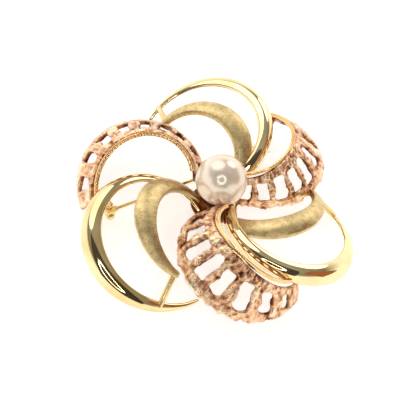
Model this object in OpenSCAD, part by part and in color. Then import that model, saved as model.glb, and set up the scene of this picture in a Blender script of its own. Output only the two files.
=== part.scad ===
// Swirl brooch with a pearl.
// Nine curled arms rise from one hub and curl the same way round. They stand in three groups of
// three: a polished hoop, a satin crescent inside it, and a wide pierced band with a plain rim.
// The face looks up along +Z. The brooch lies on its three hoops at z = 0. Every module below is
// laid out about the axis of the hub and the pearl, and centred() then moves it so that the
// middle of the whole outline is over the origin.

/* [Pearl and hub] */
// Radius of the pearl
pearl_r = 3.75; // [3:0.05:4.2]
// Height of the pearl's centre
pearl_z = 8.95; // [8.6:0.05:9.4]
// Radius of the hub at its widest
hub_r = 3.6; // [3.4:0.1:3.8]
// Height of the hub's flat underside
hub_z = 2.6; // [2.5:0.1:3.2]
// Radius of the peg that the pearl is cemented on
peg_r = 0.4; // [0.3:0.05:0.5]

/* [Polished hoops] */
// Centre of the first hoop's curl
hoop_centre = [-4.5, 10.4, 3.92]; // [-20:0.01:20]
// Radius of the curl, halfway along it
hoop_radius = 9.45; // [9:0.05:10]
// How the radius opens along the arm, evenly and towards both ends
hoop_opening = [0.24, 0.25]; // [0:0.01:2]
// Tilt of the curl's plane about X and Y
hoop_tilt = [11, -18.5]; // [-30:0.5:35]
// Angles round the curl at the root and at the tip
hoop_sweep = [-60, 183]; // [-90:0.5:270]
// Width at the root, what it swells by in the middle, and width at the tip
hoop_width = [2.3, 2.02, 0.4]; // [0.3:0.05:5]
// Where along the arm the swelling lies: over 1 is nearer the tip
hoop_swell = 1.5; // [0.9:0.05:1.8]
// How far the outer edge drops below the curl's plane at the root and the tip, as an angle
hoop_bank = [56, 41.5]; // [15:0.5:75]
// Thickness at the edges
hoop_edge = 0.4; // [0.3:0.05:0.6]
// Height of the rounded face over the edges, as a part of the width
hoop_crown = 0.26; // [0.1:0.01:0.35]
// How the three copies differ, being bent by hand: turn, lift, tilt about X and Y, extra sweep
hoop_hand = [[-3.3, 0.46, 6.8, -5.7, -12], [1.2, -0.29, 0.3, 5.2, 23], [2, -0.05, -7, 0.5, 0]]; // [-25:0.01:25]

/* [Satin crescents] */
// Centre of the first crescent's curl
satin_centre = [-5, 6.3, 5]; // [-20:0.01:20]
// Radius of the curl, halfway along it
satin_radius = 7.1; // [6.8:0.05:7.4]
// How the radius opens along the arm, evenly and towards both ends
satin_opening = [0.08, 0.12]; // [0:0.01:2]
// Tilt of the curl's plane about X and Y
satin_tilt = [31, -14]; // [-30:0.5:35]
// Angles round the curl at the root and at the tip
satin_sweep = [-40, 153.5]; // [-90:0.5:270]
// Width at the root, what it swells by in the middle, and width at the tip
satin_width = [1.25, 2.05, 1]; // [0.3:0.05:5]
// Where along the arm the swelling lies: over 1 is nearer the tip
satin_swell = 1; // [0.9:0.05:1.8]
// How far the outer edge drops below the curl's plane at the root and the tip, as an angle
satin_bank = [23.5, 39.5]; // [15:0.5:75]
// Thickness at the edges
satin_edge = 0.8; // [0.5:0.05:1]
// Height of the rounded face over the edges, as a part of the width
satin_crown = 0.12; // [0.05:0.01:0.25]
// How the three copies differ: turn, lift, tilt about X and Y, extra sweep
satin_hand = [[-2.8, 0.1, -0.8, -1.9, 0], [0.4, -0.1, 1.1, -0.8, 6], [2.4, 0, -0.3, 2.8, 6]]; // [-25:0.01:25]

/* [Rose bands] */
// Centre of the first band's curl
band_centre = [-10.2, -0.2, 5.5]; // [-20:0.01:20]
// Radius of the curl, halfway along it
band_radius = 7.2; // [6.9:0.05:7.5]
// How the radius opens along the arm, evenly and towards both ends
band_opening = [0.44, 1.09]; // [0:0.01:2]
// Tilt of the curl's plane about X and Y
band_tilt = [22.5, 4.5]; // [-30:0.5:35]
// Angles round the curl at the root and at the tip
band_sweep = [8, 227.5]; // [-90:0.5:270]
// Width at the root, what it swells by in the middle, and width at the tip
band_width = [4.15, 4.25, 3]; // [0.3:0.05:5]
// Where along the arm the swelling lies: over 1 is nearer the tip
band_swell = 1.22; // [0.9:0.01:1.8]
// How far the outer edge drops below the curl's plane at the root and the tip, as an angle
band_bank = [68, 53]; // [15:0.5:75]
// Thickness of the pierced band
band_edge = 0.9; // [0.5:0.05:1.1]
// Height of the rounded face over the edges, as a part of the width
band_crown = 0.05; // [0.02:0.01:0.1]
// How the three copies differ: turn, lift, tilt about X and Y, extra sweep
band_hand = [[-1.2, -0.15, 1.4, -1.9, 3], [-0.5, 0.6, 1.5, 0.6, 8.7], [1.7, -0.45, -3, 1.3, -11.7]]; // [-25:0.01:25]
// Number of windows in each band
windows = 9; // [7:1:10]
// Places of the first and the last window along the band
window_span = [0.075, 0.915]; // [0:0.005:1]
// Radius of a window's rounded ends, as a part of the window's pitch
window_end = 0.3; // [0.2:0.01:0.32]
// Length of a window across the band, as a part of the band's width
window_reach = 0.6; // [0.4:0.01:0.7]
// Width of the waist of a window, as a part of its ends' width
window_waist = 0.7; // [0.4:0.01:0.9]
// Width of the plain rim along the inner edge of each band
rim_width = [0.4, 0.6, 0.4]; // [0.3:0.05:1]
// Thickness of the rim
rim_edge_t = 0.6; // [0.5:0.05:1]
// How far the rim stands off the band at the hub and at the tip
rim_gap = 0.85; // [0:0.05:0.9]

/* [Pin and catch] */
// Centre of the pin's hinge
hinge_at = [-14.2, -6.5, 1.6]; // [-20:0.1:20]
// Direction of the closed pin, from +X towards +Y
pin_turn = 46; // [44:0.5:48]
// Radius of the pin's stem
pin_r = 0.3; // [0.25:0.01:0.4]
// Distances from the hinge to the end of the stem's collar and to the start of its slow taper
stem_span = [1.4, 22.8]; // [0.8:0.1:23.2]
// Radius of the stiff collar where the wire leaves its knuckle
collar_r = 0.5; // [0.46:0.01:0.6]
// Length of the pin from its hinge to its point
pin_length = 29; // [28:0.1:30]
// Length of the pin's sharpened point
point_length = 2.4; // [1.5:0.1:3]
// Distance from the hinge to the middle of the catch
catch_reach = 25.4; // [24.8:0.1:26]
// Radius and width of the pin's knuckle
knuckle = [0.65, 1]; // [0.5:0.05:2]
// Radius of the rivet through the hinge
rivet_r = 0.25; // [0.2:0.01:0.3]
// Thickness of the hinge's ears and of its plate
plate_t = 0.4; // [0.35:0.05:0.6]
// Outer radius, wall and length of the catch's fixed housing
housing = [1.15, 0.3, 2.2]; // [0.3:0.05:3]
// Inner radius of the catch's turning sleeve
sleeve_bore = 0.45; // [0.42:0.01:0.5]
// Width of the slots that let the pin out
slot_w = 0.8; // [0.76:0.01:0.86]
// Length and thickness of the sleeve's thumb lever
lever = [1.5, 0.5]; // [0.4:0.05:2]

/* [Ties] */
// Radius of the bars that tie each crescent's tip to its hoop
tie_r = 0.45; // [0.25:0.05:0.5]
// Radius of the bars that carry the hinge and the catch
bridge_r = 0.45; // [0.35:0.05:0.6]

/* [Hidden] */
outline_middle = [0.76, 0.61];

copies = 3;
copy_turn = 360 / copies;
round_fn = 48;
pearl_fn = 96;
room_fn = 40;
gold = [0.86, 0.72, 0.36];
satin_gold = [0.76, 0.63, 0.36];
rose_gold = [0.74, 0.55, 0.44];
nacre = [0.94, 0.9, 0.84];

// One arm as a list: centre, radius, opening, tilt, sweep, width, swell, bank
hoop = [hoop_centre, hoop_radius, hoop_opening, hoop_tilt, hoop_sweep, hoop_width, hoop_swell, hoop_bank];
satin = [satin_centre, satin_radius, satin_opening, satin_tilt, satin_sweep, satin_width, satin_swell, satin_bank];
band = [band_centre, band_radius, band_opening, band_tilt, band_sweep, band_width, band_swell, band_bank];

function turn_x(p, a) = [p.x, p.y * cos(a) - p.z * sin(a), p.y * sin(a) + p.z * cos(a)];
function turn_y(p, a) = [p.x * cos(a) + p.z * sin(a), p.y, p.z * cos(a) - p.x * sin(a)];
function turn_z(p, a) = [p.x * cos(a) - p.y * sin(a), p.x * sin(a) + p.y * cos(a), p.z];
function unit(v) = v / norm(v);
function mix(pair, t) = pair[0] * (1 - t) + pair[1] * t;

// The arm's line in the plane of its curl, t running from 0 at the root to 1 at the tip
function curl_angle(arm, hand, t) = arm[4][0] + (arm[4][1] + hand[4] - arm[4][0]) * t;
function curl_radius(arm, t) = arm[1] * (1 + arm[2][0] * (t - 0.5) + arm[2][1] * pow(t - 0.5, 2));
function curl_point(arm, hand, t) =
  let(a = curl_angle(arm, hand, t), r = curl_radius(arm, t))
  [r * cos(a), r * sin(a), 0];
function curl_tangent(arm, hand, t) =
  unit(curl_point(arm, hand, t + 0.002) - curl_point(arm, hand, t - 0.002));

// From the plane of the curl to the brooch: directions turn, and points are moved as well
function aim(arm, hand, copy, v) =
  turn_z(turn_y(turn_x(v, arm[3][0] + hand[2]), arm[3][1] + hand[3]), copy_turn * copy + hand[0]);
function seat(arm, hand, copy, p) =
  aim(arm, hand, copy, p) + turn_z(arm[0] + [0, 0, hand[1]], copy_turn * copy + hand[0]);

function arm_width(arm, t) =
  mix([arm[5][0], arm[5][2]], t) + arm[5][1] * pow(sin(180 * pow(max(t, 0.001), arm[6])), 1.3);

// The frame at t: the point on the middle line, then the directions along, across and out
function arm_frame(arm, hand, copy, t) =
  let(
    along = curl_tangent(arm, hand, t),
    side = [along.y, -along.x, 0],
    drop = mix(arm[7], t),
    across = side * cos(drop) - [0, 0, sin(drop)]
  )
  [
    seat(arm, hand, copy, curl_point(arm, hand, t)),
    aim(arm, hand, copy, along),
    aim(arm, hand, copy, across),
    aim(arm, hand, copy, cross(across, along))
  ];
function arm_place(frame, across, out) = frame[0] + frame[2] * across + frame[3] * out;

// A closed section: the crowned face from the inner to the outer edge, and back underneath
function crowned_section(frame, from, to, crown, edge, hollow, steps) =
  let(mid = (from + to) / 2, half = (to - from) / 2)
  [
    for (i = [0:steps])
      let(u = -cos(180 * i / steps))
      arm_place(frame, mid + half * u, crown * (1 - u * u)),
    for (i = [steps:-1:0])
      let(u = -cos(180 * i / steps))
      arm_place(frame, mid + half * u, hollow * (1 - u * u) - edge)
  ];

module loft(rings) {
  rows = len(rings);
  size = len(rings[0]);
  sides = [
    for (i = [0:rows - 2], j = [0:size - 1])
      let(a = i * size + j, b = i * size + (j + 1) % size)
      each [[a, b + size, b], [a, a + size, b + size]]
  ];
  start_cap = [for (j = [1:size - 2]) [0, j, j + 1]];
  last = (rows - 1) * size;
  end_cap = [for (j = [1:size - 2]) [last, last + j + 1, last + j]];
  polyhedron([for (ring = rings) each ring], concat(start_cap, sides, end_cap));
}

module rod(from, to, r) {
  run = to - from;
  translate(from)
    rotate([0, acos(run.z / norm(run)), atan2(run.y, run.x)])
      cylinder(h = norm(run), r = r, $fn = round_fn);
}

// --- hub and pearl ---

cup_r = 2.3;
cup_t = 0.75;
seat_gap = 0.02;
hub_top = pearl_z - pearl_r - 0.25;

module hub() {
  flank = hub_z + 0.9;
  color(gold)
    rotate_extrude($fn = round_fn)
      polygon([[0, hub_z], [hub_r - 0.5, hub_z], [hub_r, hub_z + 0.4], [hub_r, flank], [cup_r - 0.3, hub_top], [0, hub_top]]);
}

module pearl_cup() {
  color(gold)
    difference() {
      translate([0, 0, hub_top])
        cylinder(h = cup_t, r1 = cup_r - 0.3, r2 = cup_r, $fn = round_fn);
      translate([0, 0, pearl_z])
        sphere(r = pearl_r + seat_gap, $fn = pearl_fn);
      translate([0, 0, hub_top - 1])
        cylinder(h = 3, r = peg_r, $fn = round_fn);
    }
}

peg_top = pearl_z - 0.3;

module pearl_peg() {
  color(gold)
    translate([0, 0, hub_top])
      cylinder(h = peg_top - hub_top, r = peg_r, $fn = round_fn);
}

module pearl() {
  color(nacre)
    difference() {
      translate([0, 0, pearl_z])
        sphere(r = pearl_r, $fn = pearl_fn);
      translate([0, 0, hub_top - 1])
        cylinder(h = peg_top - hub_top + 1.1, r = peg_r + 0.02, $fn = round_fn);
    }
}

// Room that the arms leave round the pearl
module pearl_room() {
  translate([0, 0, pearl_z])
    sphere(r = pearl_r + 0.12, $fn = room_fn);
}

// --- arms ---

hoop_steps = 44;
satin_steps = 34;
band_steps = 37;

module polished_hoop(copy) {
  hand = hoop_hand[copy];
  color(gold)
    loft([
      for (i = [0:hoop_steps])
        let(t = i / hoop_steps, w = arm_width(hoop, t))
        crowned_section(
          arm_frame(hoop, hand, copy, t), -w / 2, w / 2, hoop_crown * w, hoop_edge, hoop_crown * w * 0.5, 5)
    ]);
}

module satin_crescent(copy) {
  hand = satin_hand[copy];
  color(satin_gold)
    loft([
      for (i = [0:satin_steps])
        let(t = i / satin_steps, w = arm_width(satin, t))
        crowned_section(
          arm_frame(satin, hand, copy, t), -w / 2, w / 2, satin_crown * w, satin_edge, 0, 5)
    ]);
}

window_pitch = (window_span[1] - window_span[0]) / (windows - 1);

module dog_bone(width, length) {
  end_r = width / 2;
  for (side = [-1, 1])
    hull()
      for (shift = [-0.2, 0.2])
        translate([shift * width, side * (length / 2 - end_r)])
          circle(r = end_r, $fn = 8);
  square([width * window_waist, length - width], center = true);
}

module band_window(copy, i) {
  hand = band_hand[copy];
  t = window_span[0] + window_pitch * i;
  f = arm_frame(band, hand, copy, t);
  ahead = arm_frame(band, hand, copy, t + window_pitch);
  pitch = norm(ahead[0] - f[0]);
  multmatrix([
    [f[1].x, f[2].x, f[3].x, f[0].x],
    [f[1].y, f[2].y, f[3].y, f[0].y],
    [f[1].z, f[2].z, f[3].z, f[0].z],
    [0, 0, 0, 1]
  ])
    translate([0, 0, -2])
      linear_extrude(4)
        dog_bone(2 * window_end * pitch, window_reach * arm_width(band, t));
}

module rose_band(copy) {
  hand = band_hand[copy];
  color(rose_gold)
    difference() {
      loft([
        for (i = [0:band_steps])
          let(t = i / band_steps, w = arm_width(band, t), ragged = 0.12 * sin(360 * windows * t))
          crowned_section(
            arm_frame(band, hand, copy, t), -w / 2, w / 2 + ragged, band_crown * w, band_edge,
            band_crown * w, 3)
      ]);
      for (i = [0:windows - 1])
        band_window(copy, i);
      pearl_room();
    }
}

// Where the rim lies across the band: on the band's edge in the middle, and off it at both ends
rim_bite = 0.06;
rim_span = [0.05, 1];
function rim_edge(t) = rim_bite - arm_width(band, t) / 2 - rim_gap * pow(abs(2 * t - 1), 1.5);

module rose_rim(copy) {
  hand = band_hand[copy];
  deep = (band_edge - rim_edge_t) / 2;
  width = rim_width[copy];
  color(gold)
    difference() {
      loft([
        for (i = [0:band_steps])
          let(t = mix(rim_span, i / band_steps), f = arm_frame(band, hand, copy, t), edge = rim_edge(t))
          [
            arm_place(f, edge - width, -deep),
            arm_place(f, edge, -deep),
            arm_place(f, edge, -deep - rim_edge_t),
            arm_place(f, edge - width, -deep - rim_edge_t)
          ]
      ]);
      pearl_room();
    }
}

// A bar from the crescent's tip down and out to the hoop beside it
tie_hoop_t = [0.93, 0.87, 0.93];

module tie_bar(copy) {
  tip = arm_frame(satin, satin_hand[copy], copy, 0.97);
  foot = arm_frame(hoop, hoop_hand[copy], copy, tie_hoop_t[copy]);
  color(gold)
    rod(arm_place(tip, 0, -satin_edge / 2), arm_place(foot, 0, 0), tie_r);
}

// --- pin, hinge and catch: laid out along the pin, which runs from the hinge along +X ---

module pin_line() {
  translate(hinge_at)
    rotate([0, 0, pin_turn])
      children();
}

run_gap = 0.05;
ear_gap = 0.1;
ear_inner = knuckle[1] / 2 + ear_gap;
bracket_top = knuckle[0] + 0.35;
sleeve_r = housing[0] - housing[1] - run_gap;
catch_from = catch_reach - housing[2] / 2;
catch_top = housing[0] - 0.1;

module hinge_bracket() {
  color(gold)
    pin_line()
      difference() {
        union() {
          translate([-knuckle[0], -ear_inner - plate_t, bracket_top])
            cube([2 * knuckle[0], 2 * (ear_inner + plate_t), plate_t]);
          for (side = [-1, 1])
            translate([0, side * (ear_inner + plate_t / 2), 0])
              rotate([90, 0, 0])
                linear_extrude(plate_t, center = true) {
                  circle(r = knuckle[0], $fn = round_fn);
                  translate([-knuckle[0], 0])
                    square([2 * knuckle[0], bracket_top + 0.1]);
                }
        }
        rotate([90, 0, 0])
          cylinder(h = 6, r = rivet_r, center = true, $fn = round_fn);
      }
}

module hinge_rivet() {
  head = 0.25;
  reach = ear_inner + plate_t;
  color(gold)
    pin_line()
      rotate([90, 0, 0]) {
        cylinder(h = 2 * reach, r = rivet_r, center = true, $fn = round_fn);
        for (side = [-1, 1])
          translate([0, 0, side * (reach + head / 2)])
            cylinder(h = head, r = rivet_r + 0.2, center = true, $fn = round_fn);
      }
}

module pin_knuckle() {
  color(gold)
    pin_line()
      rotate([90, 0, 0])
        difference() {
          cylinder(h = knuckle[1], r = knuckle[0], center = true, $fn = round_fn);
          cylinder(h = 4, r = rivet_r + run_gap, center = true, $fn = round_fn);
        }
}

module pin_stem() {
  root = knuckle[0] - 0.15;
  neck_r = pin_r - 0.05;
  point_from = pin_length - point_length;
  color(gold)
    pin_line()
      rotate([0, 90, 0]) {
        translate([0, 0, root])
          cylinder(h = stem_span[0] - root, r = collar_r, $fn = round_fn);
        translate([0, 0, stem_span[0]])
          cylinder(h = stem_span[1] - stem_span[0], r = pin_r, $fn = round_fn);
        translate([0, 0, stem_span[1]])
          cylinder(h = point_from - stem_span[1], r1 = pin_r, r2 = neck_r, $fn = round_fn);
        translate([0, 0, point_from])
          cylinder(h = point_length, r1 = neck_r, r2 = 0.05, $fn = round_fn);
      }
}

module catch_housing() {
  color(gold)
    pin_line()
      difference() {
        union() {
          translate([catch_from, 0, 0])
            rotate([0, 90, 0])
              cylinder(h = housing[2], r = housing[0], $fn = round_fn);
          translate([catch_from, -housing[0], 0.5])
            cube([housing[2], 2 * housing[0], catch_top]);
        }
        translate([catch_from - 1, 0, 0])
          rotate([0, 90, 0])
            cylinder(h = housing[2] + 2, r = housing[0] - housing[1], $fn = round_fn);
        translate([catch_from - 1, -slot_w / 2, -3])
          cube([housing[2] + 2, slot_w, 3]);
      }
}

flange_t = 0.35;
end_gap = 0.08;

module catch_sleeve() {
  from = catch_from - end_gap - flange_t;
  length = housing[2] + 2 * (end_gap + flange_t);
  color(gold)
    pin_line()
      difference() {
        union() {
          translate([from, 0, 0])
            rotate([0, 90, 0])
              cylinder(h = length, r = sleeve_r, $fn = round_fn);
          for (x = [from, from + length - flange_t])
            translate([x, 0, 0])
              rotate([0, 90, 0])
                cylinder(h = flange_t, r = sleeve_r + 0.25, $fn = round_fn);
        }
        translate([from - 1, 0, 0])
          rotate([0, 90, 0])
            cylinder(h = length + 2, r = sleeve_bore, $fn = round_fn);
        translate([from - 1, -slot_w / 2, -3])
          cube([length + 2, slot_w, 3]);
      }
}

// The lever stands out sideways from the flange nearer the hinge, so that the thumb can turn it
module thumb_lever() {
  from = catch_from - end_gap - flange_t;
  color(gold)
    pin_line()
      translate([from, sleeve_r + 0.1, 0])
        rotate([0, 90, 0])
          linear_extrude(flange_t) {
            translate([-lever[1] / 2, 0])
              square([lever[1], lever[0]]);
            translate([0, lever[0]])
              circle(r = lever[1] * 0.8, $fn = round_fn);
          }
}

// Bars on the back: each carries the hinge or the catch between a band's tip and the hoop above it
module bridge(stand, band_copy, hoop_copy, hoop_t) {
  band_tip = arm_frame(band, band_hand[band_copy], band_copy, 0.97);
  hoop_over = arm_frame(hoop, hoop_hand[hoop_copy], hoop_copy, hoop_t);
  color(gold) {
    rod(stand, arm_place(band_tip, 0, -band_edge / 2), bridge_r);
    rod(stand, arm_place(hoop_over, 0, 0), bridge_r * 0.9);
    translate(stand)
      sphere(r = bridge_r * 1.3, $fn = round_fn);
  }
}

hinge_stand = hinge_at + [0, 0, bracket_top + plate_t + bridge_r * 0.8];
catch_stand = hinge_at + turn_z([catch_reach, 0, 0], pin_turn) + [0, 0, 0.5 + catch_top + bridge_r * 0.8];

module hinge_bridge() {
  bridge(hinge_stand, 0, 1, 0.42);
}

module catch_bridge() {
  bridge(catch_stand, 2, 0, 0.27);
}

// Sets the middle of the brooch's outline over the origin
module centred() {
  translate([-outline_middle.x, -outline_middle.y, 0])
    children();
}

centred() hub();
centred() pearl_cup();
centred() pearl_peg();
centred() pearl();
centred() polished_hoop(0);  // polished_hoop_1
centred() polished_hoop(1);  // polished_hoop_2
centred() polished_hoop(2);  // polished_hoop_3
centred() satin_crescent(0);  // satin_crescent_1
centred() satin_crescent(1);  // satin_crescent_2
centred() satin_crescent(2);  // satin_crescent_3
centred() rose_band(0);  // rose_band_1
centred() rose_band(1);  // rose_band_2
centred() rose_band(2);  // rose_band_3
centred() rose_rim(0);  // rose_rim_1
centred() rose_rim(1);  // rose_rim_2
centred() rose_rim(2);  // rose_rim_3
centred() tie_bar(0);  // tie_bar_1
centred() tie_bar(1);  // tie_bar_2
centred() tie_bar(2);  // tie_bar_3
centred() hinge_bridge();
centred() hinge_bracket();
centred() hinge_rivet();
centred() catch_bridge();
centred() catch_housing();
centred() catch_sleeve();
centred() thumb_lever();
centred() pin_stem();
centred() pin_knuckle();
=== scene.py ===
"""Looks of the swirl brooch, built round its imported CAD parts.

Shapes are worked out in millimetres and stored in metres.
"""

import math

import bpy
import numpy as np
from mathutils import Matrix, Vector


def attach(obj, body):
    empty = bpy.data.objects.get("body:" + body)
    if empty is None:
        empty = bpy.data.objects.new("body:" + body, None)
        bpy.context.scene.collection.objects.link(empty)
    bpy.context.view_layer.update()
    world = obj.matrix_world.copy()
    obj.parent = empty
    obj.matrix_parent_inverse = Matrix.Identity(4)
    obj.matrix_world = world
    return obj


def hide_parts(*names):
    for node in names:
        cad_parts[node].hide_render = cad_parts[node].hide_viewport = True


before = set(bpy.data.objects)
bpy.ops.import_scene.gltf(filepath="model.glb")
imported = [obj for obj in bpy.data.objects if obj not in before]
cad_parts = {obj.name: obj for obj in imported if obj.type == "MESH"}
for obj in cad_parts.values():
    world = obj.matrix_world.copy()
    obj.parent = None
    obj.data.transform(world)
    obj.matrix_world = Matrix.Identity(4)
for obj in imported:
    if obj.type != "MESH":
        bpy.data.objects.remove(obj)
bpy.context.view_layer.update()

MM = 0.001
OUTLINE_MIDDLE = np.array([0.76, 0.61, 0.0])  # mm, moves the hub's axis off the origin
COPIES = 3

# --- pearl and hub, mm ---
PEARL_R = 3.75
PEARL_Z = 8.95
PEARL_ROOM = PEARL_R + 0.12
HUB_R = 3.6
HUB_Z = 2.6
PEG_R = 0.4
CUP_R = 2.3
HUB_TOP = PEARL_Z - PEARL_R - 0.25


def turn(axis, degrees):
    return np.array(Matrix.Rotation(math.radians(degrees), 3, axis))


class Arm:
    """One kind of curled arm. hand has a row for each copy: turn, lift, tilt about X and Y, extra sweep."""

    def __init__(self, centre, radius, opening, tilt, sweep, width, swell, bank, hand):
        self.centre = np.array(centre, float)
        self.radius, self.opening, self.tilt, self.sweep = radius, opening, tilt, sweep
        self.width_mm, self.swell, self.bank, self.hand = width, swell, bank, hand

    def curl(self, copy, t):
        angle = np.radians(self.sweep[0] + (self.sweep[1] + self.hand[copy][4] - self.sweep[0]) * t)
        r = self.radius * (1 + self.opening[0] * (t - 0.5) + self.opening[1] * (t - 0.5) ** 2)
        return np.stack([r * np.cos(angle), r * np.sin(angle), 0 * t], 1)

    def width(self, t):
        bulge = np.sin(np.pi * np.clip(t, 0.001, 1) ** self.swell).clip(0) ** 1.3
        return self.width_mm[0] * (1 - t) + self.width_mm[2] * t + self.width_mm[1] * bulge

    def frames(self, copy, t):
        """Points of the middle line and the directions along, across and out, one row for each t."""
        hand = self.hand[copy]
        along = self.curl(copy, t + 0.002) - self.curl(copy, t - 0.002)
        along /= np.linalg.norm(along, axis=1)[:, None]
        drop = np.radians(self.bank[0] * (1 - t) + self.bank[1] * t)
        across = np.stack([along[:, 1] * np.cos(drop), -along[:, 0] * np.cos(drop), -np.sin(drop)], 1)
        out = np.cross(across, along)
        about_z = turn("Z", 360 / COPIES * copy + hand[0])
        aim = about_z @ turn("Y", self.tilt[1] + hand[3]) @ turn("X", self.tilt[0] + hand[2])
        seat = about_z @ (self.centre + [0, 0, hand[1]]) - OUTLINE_MIDDLE
        return self.curl(copy, t) @ aim.T + seat, along @ aim.T, across @ aim.T, out @ aim.T

    def length_at(self, copy, t):
        """Distance in mm along the middle line from the root to each t."""
        fine = np.linspace(-0.05, 1, 420)
        steps = np.linalg.norm(np.diff(self.frames(copy, fine)[0], axis=0), axis=1)
        run = np.concatenate([[0], np.cumsum(steps)])
        return np.interp(t, fine, run) - np.interp(0, fine, run)


HOOP = Arm(
    [-4.5, 10.4, 3.92], 9.45, [0.24, 0.25], [11, -18.5], [-60, 183], [2.3, 2.02, 0.4], 1.5, [56, 41.5],
    [[-3.3, 0.46, 6.8, -5.7, -12], [1.2, -0.29, 0.3, 5.2, 23], [2, -0.05, -7, 0.5, 0]],
)
HOOP_EDGE = 0.4
HOOP_CROWN = 0.26
SATIN = Arm(
    [-5, 6.3, 5], 7.1, [0.08, 0.12], [31, -14], [-40, 153.5], [1.25, 2.05, 1], 1, [23.5, 39.5],
    [[-2.8, 0.1, -0.8, -1.9, 0], [0.4, -0.1, 1.1, -0.8, 6], [2.4, 0, -0.3, 2.8, 6]],
)
SATIN_EDGE = 0.8
SATIN_CROWN = 0.12
BAND = Arm(
    [-10.2, -0.2, 5.5], 7.2, [0.44, 1.09], [22.5, 4.5], [8, 227.5], [4.15, 4.25, 3], 1.22, [68, 53],
    [[-1.2, -0.15, 1.4, -1.9, 3], [-0.5, 0.6, 1.5, 0.6, 8.7], [1.7, -0.45, -3, 1.3, -11.7]],
)
BAND_EDGE = 0.7
BAND_CROWN = 0.05
WINDOWS = 9
WINDOW_SPAN = (0.075, 0.915)
WINDOW_END = 0.3
WINDOW_REACH = 0.57
WINDOW_WAIST = 0.7
RIM_WIDTH = (0.4, 0.6, 0.4)
RIM_EDGE = 0.6
RIM_GAP = 0.85
RIM_BITE = 0.06
RIM_SPAN = (0.05, 1.0)
RIM_RIDGE_R = 0.13
PIT_PITCH = 0.72


# --- noise and meshes ---
def noise(points, seed):
    """Smooth random values from -1 to 1, one for each row of points, with features about 1 across."""
    points = np.asarray(points, float)
    corner = np.floor(points).astype(np.int64)
    f = points - corner
    f = f * f * (3 - 2 * f)
    total = np.zeros(len(points))
    for dx in (0, 1):
        for dy in (0, 1):
            for dz in (0, 1):
                c = corner + [dx, dy, dz]
                h = (c[:, 0] * 73856093) ^ (c[:, 1] * 19349663) ^ (c[:, 2] * 83492791) ^ (seed * 2654435761)
                h = ((h & 0xFFFFFF) * 1103515245 + 12345) & 0x7FFFFFFF
                h = ((h >> 8) ^ h) * 48271 % 0x7FFFFFFF
                value = (h & 0xFFFF) / 32767.5 - 1
                weight = (f[:, 0] if dx else 1 - f[:, 0]) * (f[:, 1] if dy else 1 - f[:, 1])
                total += value * weight * (f[:, 2] if dz else 1 - f[:, 2])
    return total


def rippled(start, points, waves, seed):
    """The start values with noise added, one layer for each (height, length) of waves."""
    for i, (height, length) in enumerate(waves):
        start = start + height * noise(points / length, seed + 10 * i)
    return start


def layered(points, seed, octaves):
    """Noise with finer and lower layers on top, each half the size of the one before."""
    total, size = 0, 1.0
    for i in range(octaves):
        total = total + noise(points / size, seed + i) * size
        size *= 0.5
    return total


def make_piece(node, points, faces, uv, material, sharp, relief_and_shade=None):
    """A piece that takes the place of one CAD node of the brooch's frame.

    Points are in mm, faces are rows of indices, and uv has one (mm, mm) pair for each corner of each face.
    """
    name = node + "_look"
    mesh = bpy.data.meshes.new(name)
    mesh.from_pydata((np.asarray(points) * MM).tolist(), [], [list(map(int, f)) for f in faces])
    layer = mesh.uv_layers.new(name="UVMap")
    layer.data.foreach_set("uv", np.asarray(uv, np.float32).ravel())
    # the tone on the bark band is painted shade and highlight
    if relief_and_shade is not None:
        tone = mesh.attributes.new("relief_and_shade", "FLOAT", "POINT")
        tone.data.foreach_set("value", np.asarray(relief_and_shade, np.float32))
    mesh.materials.append(material)
    mesh.update()
    mesh.shade_smooth()
    mesh.set_sharp_from_angle(angle=math.radians(sharp))
    piece = bpy.data.objects.new(name, mesh)
    bpy.context.scene.collection.objects.link(piece)
    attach(piece, "brooch_frame")
    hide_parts(node)


def volume_of(points, faces):
    total = 0.0
    for f in faces:
        a = points[f[0]]
        for i in range(1, len(f) - 1):
            total += np.dot(a, np.cross(points[f[i]], points[f[i + 1]]))
    return total


def facing_out(points, faces, uv):
    """The faces and their uv, turned over if the faces point into the closed shape."""
    if volume_of(points - points.mean(0), faces) >= 0:
        return faces, uv
    at, flipped = 0, []
    for f in faces:
        flipped += uv[at : at + len(f)][::-1]
        at += len(f)
    return [f[::-1] for f in faces], flipped


def clear_the_pearl(points):
    """Moves any of the points that are inside the room round the pearl out to its surface."""
    pearl = np.array([0, 0, PEARL_Z]) - OUTLINE_MIDDLE
    away = points - pearl
    far = np.linalg.norm(away, axis=1)
    inside = far < PEARL_ROOM
    points[inside] = pearl + away[inside] * (PEARL_ROOM / far[inside])[:, None]


def loft(rings, u, v):
    """Points, faces and uv of a closed tube through the rings, with a fan of faces over each end."""
    rows, size = rings.shape[:2]
    points = np.concatenate([rings.reshape(-1, 3), [rings[0].mean(0)], [rings[-1].mean(0)]])
    faces, uv = [], []
    start, end = rows * size, rows * size + 1
    for i in range(rows - 1):
        for j in range(size):
            k = (j + 1) % size
            faces.append((i * size + j, (i + 1) * size + j, (i + 1) * size + k, i * size + k))
            uv += [(u[i], v[j]), (u[i + 1], v[j]), (u[i + 1], v[j + 1]), (u[i], v[j + 1])]
    for j in range(size):
        k = (j + 1) % size
        faces.append((start, j, k))
        uv += [(u[0], 0), (u[0], v[j]), (u[0], v[j + 1])]
        faces.append((end, (rows - 1) * size + k, (rows - 1) * size + j))
        uv += [(u[-1], 0), (u[-1], v[j + 1]), (u[-1], v[j])]
    return points, *facing_out(points, faces, uv)


def bezier(a, b, c, steps):
    s = np.linspace(0, 1, steps)[:, None]
    return a * (1 - s) ** 2 + 2 * b * s * (1 - s) + c * s**2


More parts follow.
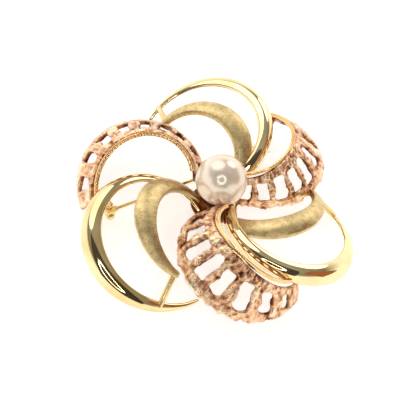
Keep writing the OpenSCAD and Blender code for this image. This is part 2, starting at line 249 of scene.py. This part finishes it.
def crowned_section(width, crown, edge, hollow, r_face, r_back, face_steps=15, corner_steps=4):
    """A rounded section as (across, out) rows: the face from inner to outer edge, then back underneath."""
    half = width / 2
    r_face, r_back = min(r_face, half * 0.6, edge * 0.49), min(r_back, half * 0.6, edge * 0.49)
    top = lambda x: np.stack([x, crown * (1 - (x / half) ** 2)], 1)
    low = lambda x: np.stack([x, hollow * (1 - (x / half) ** 2) - edge], 1)
    face = top(np.linspace(-half + r_face, half - r_face, face_steps))
    back = low(np.linspace(half - r_back, -half + r_back, face_steps))
    corners = [np.array(p, float) for p in ([half, 0], [half, -edge], [-half, -edge], [-half, 0])]
    return np.concatenate([
        face[:-1],
        bezier(face[-1], corners[0], np.array([half, -r_face]), corner_steps),
        bezier(np.array([half, -edge + r_back]), corners[1], back[0], corner_steps)[:-1],
        back[:-1],
        bezier(back[-1], corners[2], np.array([-half, -edge + r_back]), corner_steps),
        bezier(np.array([-half, -r_face]), corners[3], face[0], corner_steps)[:-1],
    ])


TIP_LEAST = 0.12  # the last section's size, as a part of its full size


def arm_loft(arm, copy, t, section_at, tip_round):
    """A loft along one arm, whose tip closes over its last tip_round mm.

    section_at(t) gives the section's (across, out) rows.
    """
    along = arm.length_at(copy, t)
    p, _, across, out = arm.frames(copy, t)
    rings, widest = [], None
    for i in range(len(t)):
        section = section_at(t[i])
        left = (along[-1] - along[i]) / tip_round
        if left < 1:
            middle = section.mean(0)
            section = middle + (section - middle) * max(TIP_LEAST, math.sqrt(max(0, 1 - (1 - left) ** 2)))
        rings.append(p[i] + across[i] * section[:, :1] + out[i] * section[:, 1:])
        if widest is None or np.ptp(section[:, 0]) > np.ptp(widest[:, 0]):
            widest = section
    girth = np.linalg.norm(np.diff(np.vstack([widest, widest[:1]]), axis=0), axis=1)
    return loft(np.array(rings), along, np.concatenate([[0], np.cumsum(girth)]))


ROOT_REACH = -0.03  # how far each arm runs on into the hub, as a part of its length
TIP_FROM = 0.965  # where the rings start to crowd together towards the tip


def tip_spaced(steps):
    """Places along an arm, closer together at the tip."""
    closing = 1 - (1 - TIP_FROM) * np.cos(np.linspace(0, np.pi / 2, 14)[1:])
    return np.concatenate([np.linspace(ROOT_REACH, TIP_FROM, steps), closing])


# --- materials ---
def new_material(name):
    material = bpy.data.materials.new(name)
    material.use_nodes = True
    return material, material.node_tree, material.node_tree.nodes["Principled BSDF"]


class Shader:
    """Short ways to add the nodes of one material."""

    def __init__(self, name, metallic, roughness, color):
        self.material, self.tree, self.bsdf = new_material(name)
        self.bsdf.inputs["Metallic"].default_value = metallic
        self.bsdf.inputs["Roughness"].default_value = roughness
        self.bsdf.inputs["Base Color"].default_value = (*color, 1)
        self.coords = self.tree.nodes.new("ShaderNodeTexCoord")

    def link(self, a, b):
        self.tree.links.new(a, b)

    def mapped(self, output, scale, turn_deg=0.0):
        """The coordinates turned, then stretched."""
        vector = self.coords.outputs[output]
        for name, value in (("Rotation", (0, 0, math.radians(turn_deg))), ("Scale", scale)):
            node = self.tree.nodes.new("ShaderNodeMapping")
            node.inputs[name].default_value = value
            self.link(vector, node.inputs["Vector"])
            vector = node.outputs["Vector"]
        return vector

    def noise(self, vector, scale, detail=4.0, roughness=0.6, distortion=0.0):
        node = self.tree.nodes.new("ShaderNodeTexNoise")
        node.inputs["Scale"].default_value = scale
        node.inputs["Detail"].default_value = detail
        node.inputs["Roughness"].default_value = roughness
        node.inputs["Distortion"].default_value = distortion
        self.link(vector, node.inputs["Vector"])
        return node.outputs["Fac"]

    def cells(self, vector, scale):
        node = self.tree.nodes.new("ShaderNodeTexVoronoi")
        node.feature = "SMOOTH_F1"
        node.inputs["Scale"].default_value = scale
        node.inputs["Smoothness"].default_value = 0.15
        self.link(vector, node.inputs["Vector"])
        return node.outputs["Distance"]

    def ramp(self, value, stops):
        node = self.tree.nodes.new("ShaderNodeValToRGB")
        elements = node.color_ramp.elements
        while len(elements) < len(stops):
            elements.new(0.5)
        for element, (place, color) in zip(elements, stops):
            element.position = place
            element.color = (*color, 1)
        self.link(value, node.inputs["Fac"])
        return node.outputs["Color"]

    def math(self, operation, a, b):
        node = self.tree.nodes.new("ShaderNodeMath")
        node.operation = operation
        for i, x in enumerate((a, b)):
            if isinstance(x, (int, float)):
                node.inputs[i].default_value = x
            else:
                self.link(x, node.inputs[i])
        return node.outputs[0]

    def range(self, value, low, high):
        node = self.tree.nodes.new("ShaderNodeMapRange")
        node.inputs["To Min"].default_value = low
        node.inputs["To Max"].default_value = high
        self.link(value, node.inputs["Value"])
        return node.outputs["Result"]

    def attribute(self, name):
        node = self.tree.nodes.new("ShaderNodeAttribute")
        node.attribute_name = name
        return node.outputs["Fac"]

    def bump(self, height, strength, distance, below=None):
        node = self.tree.nodes.new("ShaderNodeBump")
        node.inputs["Strength"].default_value = strength
        node.inputs["Distance"].default_value = distance * MM
        self.link(height, node.inputs["Height"])
        if below is not None:
            self.link(below, node.inputs["Normal"])
        self.link(node.outputs["Normal"], self.bsdf.inputs["Normal"])
        return node.outputs["Normal"]


def polished(name, deep, light, roughness, wave=0.06):
    """Polished gold: a slow hand-polished waviness, fine hairline scratches and a small drift of colour."""
    s = Shader(name, 1.0, roughness, light)
    obj = s.coords.outputs["Object"]
    slow = s.noise(obj, 160, 2, 0.5)
    s.link(s.ramp(slow, [(0.3, deep), (0.62, light)]), s.bsdf.inputs["Base Color"])
    smear = s.noise(obj, 900, 5, 0.65)
    s.link(s.range(smear, roughness * 0.6, roughness * 1.5), s.bsdf.inputs["Roughness"])
    hair = s.noise(s.mapped("Object", (1, 14, 1), 31), 2600, 2, 0.5)
    first = s.bump(s.noise(obj, 420, 2, 0.4), 0.35, wave)
    s.bump(hair, 0.05, 0.01, first)
    return s.material


def satin(name):
    """Satin gold: fine engraved lines crossing both ways over a slow drift of tone."""
    s = Shader(name, 1.0, 0.36, (0.6, 0.46, 0.2))
    lines = []
    for angle, seed_scale in ((50, 1.0), (-46, 1.13), (88, 0.7)):
        vector = s.mapped("UV", (0.8, 7.5 * seed_scale, 1), angle)
        lines.append(s.noise(vector, 1.0, 2, 0.6, 0.3))
    crossed = s.math("ADD", s.math("ADD", lines[0], lines[1]), s.math("MULTIPLY", lines[2], 0.6))
    grain = s.noise(s.coords.outputs["UV"], 1.1, 4, 0.6)
    total = s.math("ADD", s.math("MULTIPLY", crossed, 0.45), s.math("MULTIPLY", grain, 0.5))
    s.link(
        s.ramp(total, [(0.5, (0.26, 0.16, 0.055)), (0.72, (0.53, 0.375, 0.15)), (0.95, (0.84, 0.66, 0.35))]),
        s.bsdf.inputs["Base Color"],
    )
    s.link(s.range(grain, 0.26, 0.44), s.bsdf.inputs["Roughness"])
    s.bump(crossed, 0.5, 0.05)
    return s.material


def bark(name):
    """Rose gold with a rough bark face: painted shade in the dark pits, a painted highlight on the pale
    knobs, and small hammered facets.
    """
    s = Shader(name, 1.0, 0.3, (0.72, 0.46, 0.34))
    relief_and_shade = s.attribute("relief_and_shade")
    fine = s.noise(s.mapped("UV", (1.0, 1.5, 1), 12), 1.1, 3, 0.5, 0.7)
    facets = s.cells(s.mapped("UV", (1.0, 1.3, 1), 25), 1.7)
    mixed = s.math("ADD", s.math("MULTIPLY", relief_and_shade, 0.72), s.math("MULTIPLY", fine, 0.34))
    # the colours run from painted shade in the low pits to a painted highlight on the high knobs
    pit, dull, face, knob_highlight = (0.14, 0.045, 0.02), (0.56, 0.27, 0.14), (0.86, 0.53, 0.31), (1.0, 0.8, 0.57)
    stops = [(0.24, pit), (0.42, dull), (0.62, face), (0.88, knob_highlight)]
    s.link(s.ramp(mixed, stops), s.bsdf.inputs["Base Color"])
    s.link(s.range(fine, 0.18, 0.4), s.bsdf.inputs["Roughness"])
    s.bump(fine, 0.35, 0.1, s.bump(facets, 0.5, 0.1))
    return s.material


def nacre(name):
    """Pearl: cream nacre under a clear skin, clouded with faint pink and green."""
    s = Shader(name, 0.42, 0.24, (0.9, 0.85, 0.78))
    obj = s.coords.outputs["Object"]
    cloud = s.noise(obj, 190, 3, 0.5, 0.8)
    s.link(
        s.ramp(cloud, [(0.3, (0.94, 0.71, 0.6)), (0.5, (0.95, 0.8, 0.65)), (0.7, (0.92, 0.83, 0.65))]),
        s.bsdf.inputs["Base Color"],
    )
    s.bsdf.inputs["Subsurface Weight"].default_value = 0.15
    s.bsdf.inputs["Subsurface Radius"].default_value = (0.0012, 0.0009, 0.0007)
    s.bsdf.inputs["Subsurface Scale"].default_value = 0.5
    s.bsdf.inputs["Coat Weight"].default_value = 0.5
    s.bsdf.inputs["Coat Roughness"].default_value = 0.16
    s.bsdf.inputs["Coat IOR"].default_value = 1.7
    s.bsdf.inputs["IOR"].default_value = 1.68
    skin = s.noise(obj, 700, 3, 0.5)
    s.link(s.range(skin, 0.2, 0.3), s.bsdf.inputs["Roughness"])
    s.bump(skin, 0.05, 0.02)
    return s.material


GOLD = polished("polished_gold", (0.8, 0.59, 0.26), (0.96, 0.8, 0.47), 0.05)
RIM_GOLD = polished("rim_gold", (0.8, 0.43, 0.17), (0.95, 0.66, 0.33), 0.16, 0.03)
TIE_GOLD = polished("tie_gold", (0.74, 0.52, 0.2), (0.88, 0.68, 0.33), 0.2)
FINDING_GOLD = polished("finding_gold", (0.76, 0.56, 0.22), (0.9, 0.74, 0.4), 0.14)
PIN_GOLD = polished("pin_gold", (0.8, 0.64, 0.3), (0.92, 0.8, 0.5), 0.12)
# the hub and the pearl cup get a near-black brown gold: painted shade in the hollow under the pearl
HUB_SHADE_GOLD = polished("hub_gold", (0.1, 0.03, 0.012), (0.32, 0.12, 0.045), 0.3)
SATIN_GOLD = satin("satin_gold")
BARK_GOLD = bark("rose_bark_gold")
NACRE = nacre("pearl_nacre")


# --- polished hoops and satin crescents ---
HOOP_STEPS = 190
SATIN_STEPS = 150
TIP_ROUND = 0.35  # mm
SATIN_TIP_ROUND = 0.56
ARM_SHARP = 50  # degrees, the angle from which an edge is drawn crisp
BARK_SHARP = 60
LATHE_SHARP = 40
LATHE_STEPS = 128


def polished_hoop(copy):
    def section(t):
        w = float(HOOP.width(np.array([t]))[0])
        return crowned_section(w, HOOP_CROWN * w, HOOP_EDGE, HOOP_CROWN * w * 0.5, 0.14, 0.1, 21)

    points, faces, uv = arm_loft(HOOP, copy, tip_spaced(HOOP_STEPS), section, TIP_ROUND)
    make_piece(f"polished_hoop_{copy + 1}", points, faces, uv, GOLD, ARM_SHARP)


def satin_crescent(copy):
    def section(t):
        w = float(SATIN.width(np.array([t]))[0])
        return crowned_section(w, SATIN_CROWN * w, SATIN_EDGE, 0, 0.1, 0.1, 17)

    points, faces, uv = arm_loft(SATIN, copy, tip_spaced(SATIN_STEPS), section, SATIN_TIP_ROUND)
    make_piece(f"satin_crescent_{copy + 1}", points, faces, uv, SATIN_GOLD, ARM_SHARP)


# --- rose bands: a pierced band on a fine grid, its windows cut to smooth, uneven outlines ---
BAND_COLUMNS = 300
BAND_ROWS = 72
BARK_DEPTH = 0.13  # mm
WALL_LEVELS = 4
FACE_BEVEL = 0.22
BACK_BEVEL = 0.15
WINDOW_SQUARENESS = 3.4  # 2 is an oval, and more is squarer
SNAP_REACH = 0.09  # mm, the furthest a grid point moves to a window's outline in one step
SNAP_STEPS = 3
WINDOW_WAVES = ((0.16, 0.9), (0.1, 0.4))  # mm, height and length of the waves in a window's outline
EDGE_WAVES = ((0.26, 0.75), (0.14, 0.32))  # mm, the same for the band's outer edge
KNOB_SIZE = (0.95, 1.2)  # mm along and across the band
RIDGE_SIZE = (0.5, 0.8)
EDGE_SHADE_REACH = 0.3  # mm, how far the painted shade reaches from a window or an edge


def band_fields(copy):
    """Two functions of the mm along the band (s) and across it (x).

    The first is 1 on the outline of the nearest window and more outside it. The second is how far
    the outer edge wanders.
    """
    rng = np.random.default_rng(40 + copy)
    t_at = np.linspace(*WINDOW_SPAN, WINDOWS)
    centres = BAND.length_at(copy, t_at)
    pitch = (centres[-1] - centres[0]) / (WINDOWS - 1)
    centres = centres + rng.uniform(-0.1, 0.1, WINDOWS) * pitch * 0.6
    widths = BAND.width(t_at)
    half_w = WINDOW_END * pitch * rng.uniform(1.12, 1.36, WINDOWS)
    half_l = WINDOW_REACH * widths / 2 * rng.uniform(0.86, 1.03, WINDOWS)
    offset = rng.uniform(-0.12, 0.12, WINDOWS)
    slant = rng.uniform(-0.12, 0.12, WINDOWS)

    def window(s, x):
        warp = np.stack([s, x, 0 * s], 1)
        ws = rippled(s, warp, WINDOW_WAVES, 60 + copy)
        wx = rippled(x, warp, WINDOW_WAVES, 80 + copy)
        best = np.full(len(s), 9.0)
        for i in range(WINDOWS):
            dx = wx - offset[i]
            ds = ws - centres[i] - slant[i] * dx
            reach = np.clip(np.abs(dx) / half_l[i], 0, 1)
            waist = half_w[i] * (WINDOW_WAIST + (1.08 - WINDOW_WAIST) * reach**2)
            q = (np.abs(ds) / waist) ** WINDOW_SQUARENESS + (np.abs(dx) / half_l[i]) ** WINDOW_SQUARENESS
            best = np.minimum(best, q ** (1 / WINDOW_SQUARENESS))
        return best

    def ragged(s):
        edge = np.stack([s, 0 * s, 0 * s], 1)
        return rippled(0, edge, EDGE_WAVES, 20 + copy)

    return window, ragged


def rose_band(copy):
    t = np.linspace(0, 1, BAND_COLUMNS + 1)
    s_line = BAND.length_at(copy, t)
    length = s_line[-1]
    window, ragged = band_fields(copy)
    y = np.linspace(0, 1, BAND_ROWS + 1)
    cols, rows = len(t), len(y)

    def edges(s):
        half = BAND.width(np.interp(s, s_line, t)) / 2
        # the outer edge is less ragged over the first 2 mm and the last 1.2 mm
        taper = np.clip(s / 2.0, 0, 1) * np.clip((length - s) / 1.2, 0.35, 1)
        return -half, half + ragged(s) * taper

    s = np.repeat(s_line, rows)
    inner, outer = edges(s)
    x = inner + (outer - inner) * np.tile(y, cols)

    def distance(s, x):
        """mm outside the nearest window, and the direction away from it."""
        h = 0.02
        q = window(s, x)
        gs = (window(s + h, x) - window(s - h, x)) / (2 * h)
        gx = (window(s, x + h) - window(s, x - h)) / (2 * h)
        g = np.maximum(np.hypot(gs, gx), 0.15)
        return (q - 1) / g, gs / g, gx / g

    d = distance(s, x)[0]
    grid = np.arange(cols * rows).reshape(cols, rows)
    quads = np.stack([grid[:-1, :-1], grid[1:, :-1], grid[1:, 1:], grid[:-1, 1:]], -1).reshape(-1, 4)
    kept = d[quads].mean(1) > 0
    cells = kept.reshape(cols - 1, rows - 1)
    touched, lost = np.zeros(len(s), bool), np.zeros(len(s), bool)
    touched[quads[kept].ravel()] = True
    lost[quads[~kept].ravel()] = True
    rim = touched & lost
    for _ in range(SNAP_STEPS):
        d, gs, gx = distance(s[rim], x[rim])
        s[rim] -= np.clip(d, -SNAP_REACH, SNAP_REACH) * gs
        x[rim] -= np.clip(d, -SNAP_REACH, SNAP_REACH) * gx
    d = distance(s, x)[0]
    d[rim] = 0
    inner, outer = edges(s)
    to_edge = np.minimum.reduce([np.maximum(d, 0), x - inner, outer - x, s + 0.2, length - s]).clip(0)

    def bevel(r):
        return r - np.sqrt(np.maximum(r * r - (r - np.minimum(to_edge, r)) ** 2, 0))

    half = np.maximum(np.abs(inner), 1)
    flat = np.stack([s, x, 0 * s], 1)
    knobs = layered(flat * [1 / KNOB_SIZE[0], 1 / KNOB_SIZE[1], 1], 100 + copy, 3)
    ridges = 1 - 2 * np.abs(noise(flat * [1 / RIDGE_SIZE[0], 1 / RIDGE_SIZE[1], 1], 120 + copy))
    relief_and_shade = 0.65 * knobs + 0.55 * ridges
    fade = np.clip(s / 3, 0.25, 1)  # the bark is shallower over the first 3 mm
    crown = BAND_CROWN * 2 * half * (1 - np.clip(x / half, -1, 1) ** 2)
    top = crown + BARK_DEPTH * relief_and_shade * fade - bevel(FACE_BEVEL)
    under = layered(flat / 0.8, 140 + copy, 2)
    low = crown - BAND_EDGE + 0.04 * under + bevel(BACK_BEVEL)

    tt = np.interp(s, s_line, t)
    p, _, across, out = BAND.frames(copy, tt)
    base = p + across * x[:, None]
    # the first and last layers are the face and the back, and the ones between are only used in the walls
    layers = []
    for share in np.arange(WALL_LEVELS + 1) / WALL_LEVELS:
        layer = base + out * (top * (1 - share) + low * share)[:, None]
        clear_the_pearl(layer)
        layers.append(layer)

    border = {}
    for i, j in zip(*np.nonzero(cells)):
        for di, dj, a, b in ((-1, 0, (i, j), (i, j + 1)), (1, 0, (i + 1, j + 1), (i + 1, j)),
                             (0, -1, (i + 1, j), (i, j)), (0, 1, (i, j + 1), (i + 1, j + 1))):
            ni, nj = i + di, j + dj
            if not (0 <= ni < cols - 1 and 0 <= nj < rows - 1) or not cells[ni, nj]:
                border[(grid[a], grid[b])] = True
    total = cols * rows
    points = np.concatenate([layers[0], layers[-1]] + layers[1:-1])
    order = [0, *range(2, WALL_LEVELS + 1), 1]  # which block of points each depth uses, from the face down
    faces, uv = [], []
    flat_uv = np.stack([s, x], 1)
    for q in quads[kept]:
        faces.append(tuple(q[::-1]))
        uv += flat_uv[q[::-1]].tolist()
        faces.append(tuple(q + total))
        uv += flat_uv[q].tolist()
    for a, b in border:
        for k in range(WALL_LEVELS):
            upper, lower = order[k] * total, order[k + 1] * total
            faces.append((a + upper, b + upper, b + lower, a + lower))
            depth0, depth1 = BAND_EDGE * k / WALL_LEVELS, BAND_EDGE * (k + 1) / WALL_LEVELS
            uv += [(s[a], x[a] + depth0), (s[b], x[b] + depth0), (s[b], x[b] + depth1), (s[a], x[a] + depth1)]
    faces = np.array(faces)
    if volume_of(points - points.mean(0), faces) < 0:
        faces = faces[:, ::-1]
        uv = np.array(uv).reshape(-1, 4, 2)[:, ::-1].reshape(-1, 2)
    used = np.unique(faces)
    renumber = np.full(len(points), -1)
    renumber[used] = np.arange(len(used))
    # the tone of the bark is painted shade and highlight: darker in the pits, near the windows, down the
    # walls and on the back, paler on the knobs
    knob_shade = np.tile(np.clip(0.5 + 0.5 * relief_and_shade - 0.8 * bevel(EDGE_SHADE_REACH), 0, 1), WALL_LEVELS + 1)
    depth_shade = np.repeat([1.0, 0.35] + [0.8 - 0.4 * k / WALL_LEVELS for k in range(1, WALL_LEVELS)], total)
    tone = (knob_shade * depth_shade)[used]
    name = f"rose_band_{copy + 1}"
    make_piece(name, points[used], renumber[faces], uv, BARK_GOLD, BARK_SHARP, tone)


def rose_rim(copy):
    """A narrow strip along the band's inner edge: two round ridges with a pitted channel between them."""
    t = np.linspace(*RIM_SPAN, 260)
    along = BAND.length_at(copy, t)
    p, _, across, out = BAND.frames(copy, t)
    edge = RIM_BITE - BAND.width(t) / 2 - RIM_GAP * np.abs(2 * t - 1) ** 1.5
    deep = (BAND_EDGE - RIM_EDGE) / 2
    w, h, r = RIM_WIDTH[copy], RIM_EDGE, RIM_RIDGE_R
    turns = np.radians([-60, -10, 40, 90])
    rings = []
    for i in range(len(t)):
        pit = 0.5 + 0.5 * math.cos(2 * math.pi * along[i] / PIT_PITCH + 1.3 * math.sin(along[i] * 0.9))
        channel = 0.08 + 0.06 * pit**4
        section = [(0, -0.03), (0, -h + 0.03)]
        section += [(-w + r - r * math.sin(a), -h + r - r * math.cos(a)) for a in turns]
        section += [(-w + channel, -h + 2.3 * r), (-w + channel, -h / 2), (-w + channel, -2.3 * r)]
        section += [(-w + r - r * math.sin(a), -r + r * math.cos(a)) for a in turns[::-1]]
        section = np.array(section)
        rings.append(p[i] + across[i] * (edge[i] + section[:, :1]) + out[i] * (section[:, 1:] - deep))
    girth = np.linalg.norm(np.diff(np.vstack([section, section[:1]]), axis=0), axis=1)
    points, faces, uv = loft(np.array(rings), along, np.concatenate([[0], np.cumsum(girth)]))
    clear_the_pearl(points)
    make_piece(f"rose_rim_{copy + 1}", points, faces, uv, RIM_GOLD, ARM_SHARP)


# --- pearl and hub ---
PEARL_STEPS = 160


def lathe(name, profile, material, segments=LATHE_STEPS):
    """A closed solid turned about the hub's axis. The profile is (radius, z) rows from axis to axis."""
    profile = np.array(profile, float)
    angles = np.linspace(0, 2 * np.pi, segments + 1)
    middle = profile[1:-1]
    points = [[0, 0, profile[0, 1]], [0, 0, profile[-1, 1]]]
    for a in angles[:-1]:
        points += [[r * math.cos(a), r * math.sin(a), z] for r, z in middle]
    n, faces, uv = len(middle), [], []
    run = np.concatenate([[0], np.cumsum(np.linalg.norm(np.diff(profile, axis=0), axis=1))])
    for i in range(segments):
        k = (i + 1) % segments
        u0, u1 = angles[i] * 3, angles[i + 1] * 3
        for j in range(n - 1):
            faces.append((2 + i * n + j, 2 + k * n + j, 2 + k * n + j + 1, 2 + i * n + j + 1))
            uv += [(u0, run[j + 1]), (u1, run[j + 1]), (u1, run[j + 2]), (u0, run[j + 2])]
        faces.append((0, 2 + k * n, 2 + i * n))
        uv += [(u0, 0), (u1, run[1]), (u0, run[1])]
        faces.append((1, 2 + i * n + n - 1, 2 + k * n + n - 1))
        uv += [(u0, run[-1]), (u0, run[-2]), (u1, run[-2])]
    points = np.array(points) - OUTLINE_MIDDLE
    faces, uv = facing_out(points, faces, uv)
    make_piece(name, points, faces, uv, material, LATHE_SHARP)


def build_pearl():
    drill = PEG_R + 0.02
    low = math.acos(-math.sqrt(1 - (drill / PEARL_R) ** 2))
    arc = [(PEARL_R * math.sin(a), PEARL_Z + PEARL_R * math.cos(a)) for a in np.linspace(0, low, 96)]
    profile = arc + [(drill, PEARL_Z - 0.2), (0, PEARL_Z - 0.2)]
    lathe("pearl", profile, NACRE, PEARL_STEPS)


def build_hub():
    waist = HUB_R - 0.9
    profile = [(0, HUB_Z), (HUB_R - 0.6, HUB_Z), (HUB_R - 0.35, HUB_Z + 0.06), (HUB_R - 0.1, HUB_Z + 0.25)]
    profile += [(HUB_R - 0.1, HUB_Z + 0.5), (HUB_R - 0.3, HUB_Z + 0.7)]
    for k in np.linspace(0, 1, 14):
        bow = 0.3 * math.sin(math.pi * k)
        profile.append((waist + (CUP_R - 0.3 - waist) * k - bow, HUB_Z + 1 + (HUB_TOP - HUB_Z - 1) * k))
    profile += [(0, HUB_TOP)]
    # the hub's near-black gold is painted shade
    lathe("hub", profile, HUB_SHADE_GOLD)


# --- carried-over CAD pieces: crisp machined shapes get softened edges ---
CARRIED = {
    # the pearl cup's near-black gold is painted shade
    "pearl_cup": ("hub_gold", HUB_SHADE_GOLD, 0.05),
    "pearl_peg": ("polished_gold", GOLD, 0.03),
    "tie_bar_1": ("tie_gold", TIE_GOLD, 0.05),
    "tie_bar_2": ("tie_gold", TIE_GOLD, 0.05),
    "tie_bar_3": ("tie_gold", TIE_GOLD, 0.05),
    "hinge_bridge": ("finding_gold", FINDING_GOLD, 0.05),
    "hinge_bracket": ("finding_gold", FINDING_GOLD, 0.06),
    "hinge_rivet": ("finding_gold", FINDING_GOLD, 0.05),
    "catch_bridge": ("finding_gold", FINDING_GOLD, 0.05),
    "catch_housing": ("finding_gold", FINDING_GOLD, 0.05),
    "catch_sleeve": ("finding_gold", FINDING_GOLD, 0.04),
    "thumb_lever": ("finding_gold", FINDING_GOLD, 0.06),
    "pin_stem": ("pin_gold", PIN_GOLD, 0.02),
    "pin_knuckle": ("pin_gold", PIN_GOLD, 0.05),
}


def carry_over():
    for name, (slot_name, material, width) in CARRIED.items():
        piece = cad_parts[name]
        if "custom_normal" in piece.data.attributes:
            piece.data.attributes.remove(piece.data.attributes["custom_normal"])
        piece.data.materials.clear()
        piece.data.materials.append(material)
        weld = piece.modifiers.new("weld", "WELD")
        weld.merge_threshold = 1e-7
        soften = piece.modifiers.new("soften", "BEVEL")
        soften.width = width * MM
        soften.segments = 3
        soften.limit_method = "ANGLE"
        soften.angle_limit = math.radians(40)
        piece.data.shade_smooth()


for arm_copy in range(COPIES):
    polished_hoop(arm_copy)
    satin_crescent(arm_copy)
    rose_band(arm_copy)
    rose_rim(arm_copy)
build_pearl()
build_hub()
carry_over()


# --- floor, lights and camera ---
def plain(name, color, roughness, glow=0.0):
    s = Shader(name, 0.0, roughness, color)
    mottle = s.noise(s.coords.outputs["Object"], 30, 3)
    s.link(s.range(mottle, roughness * 0.9, roughness), s.bsdf.inputs["Roughness"])
    s.bsdf.inputs["Emission Color"].default_value = (1, 1, 1, 1)
    s.bsdf.inputs["Emission Strength"].default_value = glow
    return s.material


def panel(name, rows, faces, place, target, material, camera_sees=False):
    """A flat panel that faces the target, in metres, seen in reflections."""
    mesh = bpy.data.meshes.new(name)
    mesh.from_pydata(rows, [], faces)
    mesh.materials.append(material)
    sheet = bpy.data.objects.new(name, mesh)
    bpy.context.scene.collection.objects.link(sheet)
    sheet.location = place
    sheet.rotation_mode = "QUATERNION"
    sheet.rotation_quaternion = (Vector(target) - Vector(place)).to_track_quat("Z", "Y")
    sheet.visible_camera = camera_sees


def card(name, size, place, target, material, camera_sees=False):
    half = size / 2
    corners = [(-half, -half, 0), (half, -half, 0), (half, half, 0), (-half, half, 0)]
    panel(name, corners, [(0, 1, 2, 3)], place, target, material, camera_sees)


def ring(name, radius, width, place, target, material):
    """A flat ring, like the lamp round a close-up lens."""
    steps = 64
    turns = [2 * math.pi * k / steps for k in range(steps)]
    edges = (radius - width / 2, radius + width / 2)
    rows = [(r * math.cos(a), r * math.sin(a), 0) for r in edges for a in turns]
    faces = [(k, (k + 1) % steps, steps + (k + 1) % steps, steps + k) for k in range(steps)]
    panel(name, rows, faces, place, target, material)


def softbox(name, place, target, size, watts):
    light = bpy.data.lights.new(name, "AREA")
    light.shape = "DISK"
    light.size = size
    light.energy = watts
    lamp = bpy.data.objects.new(name, light)
    bpy.context.scene.collection.objects.link(lamp)
    lamp.location = place
    lamp.rotation_mode = "QUATERNION"
    lamp.rotation_quaternion = (Vector(target) - Vector(place)).to_track_quat("-Z", "Y")


FLOOR_SIZE = 3.0
FLOOR_GLOW = 0.55
card("floor", FLOOR_SIZE, (0, 0, 0), (0, 0, 1), plain("floor_white", (0.9, 0.9, 0.9), 0.7, FLOOR_GLOW), True)

VIEW_ELEVATION = math.radians(53.26)
VIEW_ROLL = math.radians(-18.58)
VIEW_DISTANCE = 139.9  # mm
VIEW_AIM = np.array([0, 0, 3.5]) - OUTLINE_MIDDLE  # mm
VIEW_SHIFT = (-0.0356, 0.0037)
LENS = 84.9  # mm, on a 36 mm sensor
towards = Vector((0, math.cos(VIEW_ELEVATION), -math.sin(VIEW_ELEVATION)))
eye = Vector(VIEW_AIM * MM) - towards * VIEW_DISTANCE * MM

BLACK = plain("card_black", (0.02, 0.017, 0.013), 0.6)
GLOWING = plain("ring_glow", (1, 1, 1), 0.6, 5.0)

DARK_AT = 0.3  # m from the brooch, behind the camera
RING_AT = 0.28
RING_R = 0.085
RING_WIDTH = 0.016
DARK_SIZE = 0.42
card("camera_card", DARK_SIZE, Vector(VIEW_AIM * MM) - towards * DARK_AT, VIEW_AIM * MM, BLACK)
ring("ring_lamp", RING_R, RING_WIDTH, Vector(VIEW_AIM * MM) - towards * RING_AT, VIEW_AIM * MM, GLOWING)

BROWN = plain("card_brown", (0.3, 0.1, 0.035), 0.6)
card("brown_card", 0.24, (0.3, 0.03, 0.2), VIEW_AIM * MM, BROWN)

softbox("key", (-0.25, 0.22, 0.4), (0, 0, 0), 0.46, 0.8)
softbox("fill", (0.12, 0.36, 0.3), (0, 0, 0), 0.25, 0.3)

world = bpy.data.worlds.new("studio")
bpy.context.scene.world = world
world.use_nodes = True
w_nodes, w_links = world.node_tree.nodes, world.node_tree.links
w_coords = w_nodes.new("ShaderNodeTexCoord")
w_split = w_nodes.new("ShaderNodeSeparateXYZ")
w_ramp = w_nodes.new("ShaderNodeValToRGB")
w_links.new(w_coords.outputs["Generated"], w_split.inputs[0])
w_links.new(w_split.outputs["Z"], w_ramp.inputs["Fac"])
w_ramp.color_ramp.elements[0].position = 0.3
w_ramp.color_ramp.elements[0].color = (1.4, 1.38, 1.32, 1)
w_ramp.color_ramp.elements[1].position = 0.58
w_ramp.color_ramp.elements[1].color = (0.26, 0.25, 0.22, 1)
w_top = w_ramp.color_ramp.elements.new(0.95)
w_top.color = (0.42, 0.41, 0.38, 1)
w_links.new(w_ramp.outputs["Color"], w_nodes["Background"].inputs["Color"])
w_nodes["Background"].inputs["Strength"].default_value = 0.9

camera_data = bpy.data.cameras.new("camera")
camera_data.lens = LENS
camera_data.sensor_width = 36
camera_data.shift_x, camera_data.shift_y = VIEW_SHIFT
camera_data.clip_start, camera_data.clip_end = 0.01, 10
camera = bpy.data.objects.new("camera", camera_data)
bpy.context.scene.collection.objects.link(camera)
plane_x = Vector((1, 0, 0))
plane_y = Vector((0, math.sin(VIEW_ELEVATION), math.cos(VIEW_ELEVATION)))
cam_x = plane_x * math.cos(VIEW_ROLL) - plane_y * math.sin(VIEW_ROLL)
cam_y = plane_x * math.sin(VIEW_ROLL) + plane_y * math.cos(VIEW_ROLL)
camera.matrix_world = Matrix.Translation(eye) @ Matrix((cam_x, cam_y, -towards)).transposed().to_4x4()
bpy.context.scene.camera = camera
bpy.context.scene.view_settings.view_transform = "Standard"
